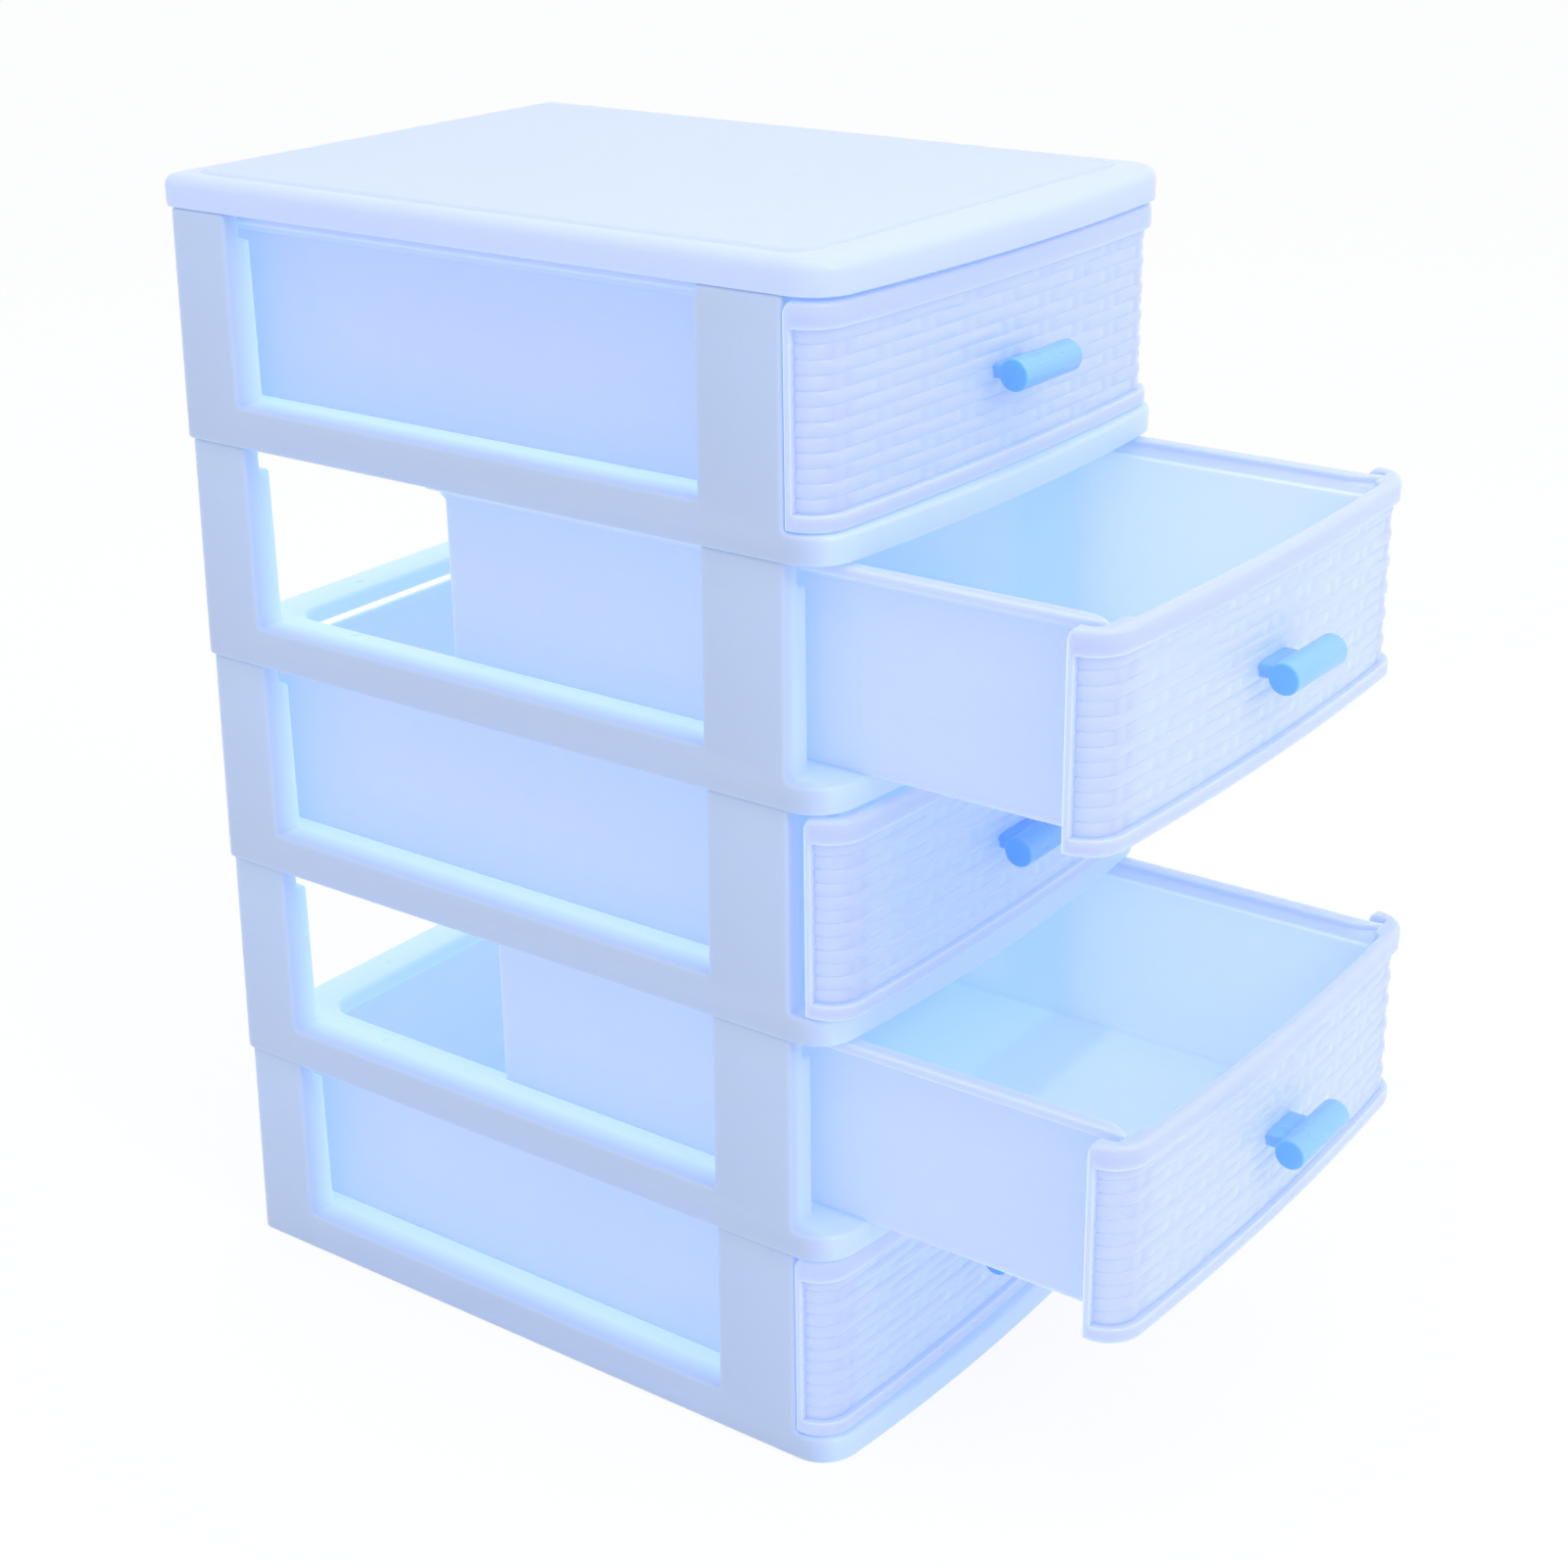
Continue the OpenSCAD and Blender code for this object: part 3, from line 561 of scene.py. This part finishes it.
def weaveDepth(along, row, across):
    # depth of the woven surface under the plain bands; each strand passes behind every other stake
    swell = max(1 - (2 * across - 1) ** 2, 0) ** weave["roundness"]
    stake = round(along / weave["stakePitch"])
    aside = abs(along - stake * weave["stakePitch"])
    strand = weave["strand"] * swell
    if abs(stake) > weave["stakes"]:
        return weave["depth"] - strand
    if (row + stake) % 2:
        bulge = 1 + weave["lift"] * (1 - eased(0, weave["liftReach"], aside))
        return weave["depth"] - strand * bulge
    strand *= eased(weave["stakeHalf"], weave["dive"], aside)
    start, end = (weave["stakeHalf"] + ease for ease in weave["uprightEase"])
    upright = weave["stakeRise"] * (1 - eased(start, end, aside))
    return weave["depth"] - max(strand, upright)


def frontStation(along):
    # a place along the front's outline: its point, its outward direction and its point on the inner outline
    depth, sweep = cornerCentre(front)
    bow, corner = front["bowRadius"], front["corner"]
    side = math.copysign(1, along)
    reach = abs(along)
    bowLength = bow * math.radians(sweep)
    cornerLength = corner * math.radians(90 - sweep)
    if reach < bowLength:
        angle = reach / bow
        outward = Vector((math.sin(angle), -math.cos(angle)))
        point = Vector((0, bow - front["front"])) + bow * outward
        inner = point - front["thick"] * outward
        if inner.x > front["boxInner"]:
            share = eased(front["boxInner"], front["boxInner"] + front["pocketEase"], inner.x)
            inner.y += (front["pocket"][1] - inner.y) * share
    else:
        angle = math.radians(sweep) + min(reach - bowLength, cornerLength) / corner
        outward = Vector((math.sin(angle), -math.cos(angle)))
        centre = Vector((front["width"] / 2 - corner, -depth))
        point = centre + corner * outward
        room = Vector((front["pocket"][0] - centre.x, centre.y - front["pocket"][1]))
        power = front["pocketPower"]
        size = ((outward.x / room.x) ** power + (max(-outward.y, 0) / room.y) ** power) ** (1 / power)
        inner = centre + outward / size
        point.y += max(reach - bowLength - cornerLength, 0)
        inner.y += max(reach - bowLength - cornerLength, 0)
    flip = Vector((side, 1))
    return point * flip, outward * flip, inner * flip


def frontPattern():
    depth, sweep = cornerCentre(front)
    halfLength = (front["bowRadius"] * math.radians(sweep) + front["corner"] * math.radians(90 - sweep)
                  + depth + front["rear"])
    rimAt = halfLength - front["sideRim"]
    spacing = weave["stakePitch"] / weave["columnsPerPitch"]
    columns = [spacing * k for k in range(1, int((rimAt - front["fieldClear"]) / spacing) + 1)]
    afterRim, beforeEnd, nearEnd = front["rimSpread"]
    columns += [rimAt - front["step"], rimAt, rimAt + afterRim]
    columns += [halfLength - beforeEnd, halfLength - nearEnd, halfLength]
    stations = [-c for c in reversed(columns)] + [0.0] + columns

    # rows from the foot up the outer face, over the top and down the inner face
    foot, crown, inside = front["footRound"], front["topRound"], front["innerTopRound"]
    low, high = front["fieldLow"], front["fieldHigh"]
    plain, sill, sunken = front["bandSet"]

    def quarter(angle):
        return 1 - math.sin(math.radians(angle)), 1 - math.cos(math.radians(angle))

    rows = [("outer", front["bottom"] + foot * quarter(a)[1], foot * quarter(a)[0]) for a in (0, 30, 60, 90)]
    rows += [("outer", low - plain, 0.0), ("outer", low - sill, sunken)]
    pitch = (high - low) / weave["rows"]
    for row in range(weave["rows"]):
        rows += [("field", low + (row + across) * pitch, (row, across)) for across in weave["rowShares"]]
    rows += [("field", high, (weave["rows"] - 1, 1.0)), ("outer", high + sill, sunken), ("outer", high + plain, 0.0)]
    rows += [("outer", front["top"] - crown * quarter(a)[0], crown * quarter(a)[1]) for a in (0, 22, 45, 68, 90)]
    rows += [("inner", front["top"] - inside * quarter(a)[1], inside * quarter(a)[0]) for a in (0, 45, 90)]
    rows += [("inner", front["bottom"], 0.0)]

    bm = bmesh.new()
    bmesh.ops.create_grid(bm, x_segments=len(stations) - 1, y_segments=len(rows) - 1, size=1)
    bm.verts.ensure_lookup_table()
    ordered = sorted(bm.verts, key=lambda v: (round(v.co.y, 5), round(v.co.x, 5)))
    for index, vert in enumerate(ordered):
        row, column = divmod(index, len(stations))
        kind, height, detail = rows[row]
        along = stations[column]
        point, outward, inner = frontStation(along)
        inField = abs(along) < rimAt - front["step"] / 2
        if kind == "field":
            sunk = weaveDepth(along, *detail) if inField else 0.0
            spot = point - outward * sunk
        elif kind == "outer":
            atField = low - sunken < height < high + sunken
            spot = point - outward * (detail if inField or not atField else 0.0)
        else:
            across = (point - inner).normalized()
            spot = inner + across * detail
        vert.co = (spot.x, spot.y, height)
        # the wings' rear edges fall away at the top
        left, fall, reach = halfLength - abs(along), front["wingFall"], front["wingReach"]
        if height > front["top"] - reach and left < fall:
            drop = fall - math.sqrt(max(fall ** 2 - (fall - left) ** 2, 0))
            vert.co.z -= drop * (height - front["top"] + reach) / reach
    # close the underside and the two ends
    first, last = ordered[:len(stations)], ordered[-len(stations):]
    for a in range(len(stations) - 1):
        bmesh.ops.contextual_create(bm, geom=[first[a], first[a + 1], last[a + 1], last[a]])
    bmesh.ops.holes_fill(bm, edges=[e for e in bm.edges if e.is_boundary], sides=0)
    bmesh.ops.recalc_face_normals(bm, faces=bm.faces)
    return smoothed(asObject(bm, "frontPattern"), front["smooth"])


frontShape = frontPattern()
print("woven front built:", len(frontShape.data.vertices), "points")

handle = {
    "half": 15, "radius": 4.7, "axisY": -255.3, "axisZ": 38.6, "endSoft": 0.7,
    "webHalf": 8.0, "webLow": 3.6, "webHigh": 0.6, "webRear": -243.3,
    "clipPitch": 13, "clipThick": 1.8, "clipHeight": 5, "clipFront": -243.9, "clipRear": -240.2,
    "barb": 0.8, "barbFront": -241.8, "barbOverlap": 0.1, "barbTip": 0.05, "webSoft": 0.6,
    "sides": 48, "smooth": 40,
}


def handlePattern():
    # the bar lies along X; the web runs back from it into the front
    bar = bmesh.new()
    ring = bmesh.ops.create_circle(bar, cap_ends=True, segments=handle["sides"], radius=handle["radius"])["verts"]
    bmesh.ops.rotate(bar, verts=ring, matrix=Matrix.Rotation(math.radians(90), 3, "Y"))
    end = bmesh.ops.extrude_face_region(bar, geom=bar.faces[:], use_keep_orig=True)["geom"]
    end = [g for g in end if isinstance(g, bmesh.types.BMVert)]
    bmesh.ops.translate(bar, vec=(-handle["half"], handle["axisY"], handle["axisZ"]), verts=bar.verts)
    bmesh.ops.translate(bar, vec=(2 * handle["half"], 0, 0), verts=end)
    bmesh.ops.recalc_face_normals(bar, faces=bar.faces)
    rims = [e for e in bar.edges if abs(e.verts[0].co.x - e.verts[1].co.x) < near["plane"]]
    bmesh.ops.bevel(bar, geom=rims, offset=handle["endSoft"], segments=4, profile=0.5, affect="EDGES", material=-1)
    made = asObject(bar, "handlePattern")
    half, middle = handle["webHalf"], handle["axisZ"]
    web = block((-half, handle["axisY"], middle - handle["webLow"]),
                (half, handle["webRear"], middle + handle["webHigh"]))
    bmesh.ops.bevel(web, geom=web.edges[:], offset=handle["webSoft"], segments=3, profile=0.5, affect="EDGES",
                    material=-1)
    combine(made, web, "UNION")
    # a barbed clip on each side holds the handle from inside the drawer
    low, high = (middle + side * handle["clipHeight"] / 2 for side in (-1, 1))
    inner, outer = (handle["clipPitch"] / 2 + side * handle["clipThick"] / 2 for side in (-1, 1))
    combine(made, bothSides(block((inner, handle["clipFront"], low), (outer, handle["clipRear"], high))), "UNION")
    overlap = handle["barbOverlap"]
    barb = block((outer - overlap, handle["barbFront"], low), (outer + handle["barb"], handle["clipRear"], high))
    for vert in barb.verts:
        if vert.co.x > outer and vert.co.y > handle["barbFront"] + overlap:
            vert.co.x = outer + handle["barbTip"]
    combine(made, bothSides(barb), "UNION")
    weld = bmesh.new()
    weld.from_mesh(made.data)
    bmesh.ops.remove_doubles(weld, verts=weld.verts, dist=near["weld"])
    weld.to_mesh(made.data)
    weld.free()
    return smoothed(made, handle["smooth"])


handleShape = handlePattern()

for tier in tiers:
    name = f"drawer_{tier}"
    low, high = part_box(name)
    foot = low.z / mm - tray["bottom"]
    pull = low.y / mm + front["front"]
    body = placed(trayShape, f"drawerTray_{tier}", name, plastics["tray"], pull, foot)
    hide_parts(name)
    face = placed(frontShape, f"wovenFront_{tier}", name, plastics["front"], pull, foot)
    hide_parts(name)
    pulledBy = placed(handleShape, f"barHandle_{tier}", name, plastics["handle"], pull, foot)
    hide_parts(f"handle_{tier}")
for shape in (trayShape, frontShape, handleShape):
    bpy.data.objects.remove(shape)
print("drawers placed")

studio = {
    "floorColour": (0.93, 0.95, 1.0), "floorSize": 6, "floorGap": 0.0002, "cameraWhite": 0.86,
    "worldColour": (0.97, 0.98, 1.0), "worldLevel": 0.90,
    # name: place, aimed at, size, watts
    "lamps": {
        "overhead": ((-0.2, -0.3, 1.6), (0, -0.12, 0.2), 1.6, 5.0),
        "key": ((-0.35, -1.7, 1.4), (0, -0.2, 0.2), 0.9, 8.0),
    },
}


def looksWhite(tree):
    # 1 for the rays that show the background as pure white
    seen, mirrored, passed = (addNode(tree, "ShaderNodeLightPath", output=f"Is {kind} Ray")
                              for kind in ("Camera", "Glossy", "Transmission"))
    return seen.math("MAXIMUM", seen, mirrored + passed)


floorMesh = bmesh.new()
bmesh.ops.create_grid(floorMesh, x_segments=1, y_segments=1, size=studio["floorSize"])
bmesh.ops.translate(floorMesh, vec=(0, 0, -studio["floorGap"]), verts=floorMesh.verts)
floor = asObject(floorMesh, "floor")
floorMaterial = bpy.data.materials.new("paleFloor")
floorMaterial.use_nodes = True
tree = floorMaterial.node_tree
tree.nodes.clear()
paint = addNode(tree, "ShaderNodeBsdfDiffuse", {}, {"Color": (*studio["floorColour"], 1)})
white = addNode(tree, "ShaderNodeEmission", {}, {"Color": (1, 1, 1, 1), "Strength": 1.0})
share = looksWhite(tree) * studio["cameraWhite"]
mixed = addNode(tree, "ShaderNodeMixShader", {}, {"Fac": share, 1: paint, 2: white})
addNode(tree, "ShaderNodeOutputMaterial", {}, {"Surface": mixed})
floor.data.materials.append(floorMaterial)

world = bpy.data.worlds.new("studio")
bpy.context.scene.world = world
world.use_nodes = True
tree = world.node_tree
tree.nodes.clear()
ambient = addNode(tree, "ShaderNodeBackground", {}, {
    "Color": (*studio["worldColour"], 1), "Strength": studio["worldLevel"]})
white = addNode(tree, "ShaderNodeBackground", {}, {"Color": (1, 1, 1, 1), "Strength": 1.0})
mixed = addNode(tree, "ShaderNodeMixShader", {}, {"Fac": looksWhite(tree), 1: ambient, 2: white})
addNode(tree, "ShaderNodeOutputWorld", {}, {"Surface": mixed})

for name, (place, aim, size, watts) in studio["lamps"].items():
    lamp = bpy.data.lights.new(name, "AREA")
    lamp.shape, lamp.size, lamp.energy = "DISK", size, watts
    lampObject = bpy.data.objects.new(name, lamp)
    lampObject.location = place
    lampObject.rotation_euler = (Vector(aim) - Vector(place)).to_track_quat("-Z", "Y").to_euler()
    bpy.context.scene.collection.objects.link(lampObject)

# the photograph's camera: angles in degrees, focal length in mm, shift in sensor widths
viewpoint = {
    "place": (-0.6321, -0.6339, 0.5000), "azimuth": -53.915, "elevation": 22.172, "roll": -0.584,
    "lens": 61.505, "sensor": 36, "shift": (-0.01504, -0.00794),
}
azimuth, elevation, roll = (math.radians(viewpoint[k]) for k in ("azimuth", "elevation", "roll"))
ahead = Vector((-math.sin(azimuth) * math.cos(elevation), math.cos(azimuth) * math.cos(elevation),
                -math.sin(elevation)))
level = Vector((math.cos(azimuth), math.sin(azimuth), 0))
upright = level.cross(ahead)
right = math.cos(roll) * level + math.sin(roll) * upright
up = math.cos(roll) * upright - math.sin(roll) * level
camera = bpy.data.cameras.new("photoView")
camera.sensor_width, camera.lens = viewpoint["sensor"], viewpoint["lens"]
camera.shift_x, camera.shift_y = viewpoint["shift"]
cameraObject = bpy.data.objects.new("photoView", camera)
turned = Matrix((right, up, -ahead)).transposed().to_4x4()
cameraObject.matrix_world = Matrix.Translation(viewpoint["place"]) @ turned
bpy.context.scene.collection.objects.link(cameraObject)
bpy.context.scene.camera = cameraObject
bpy.context.scene.view_settings.view_transform = "Standard"
print("studio and camera ready")
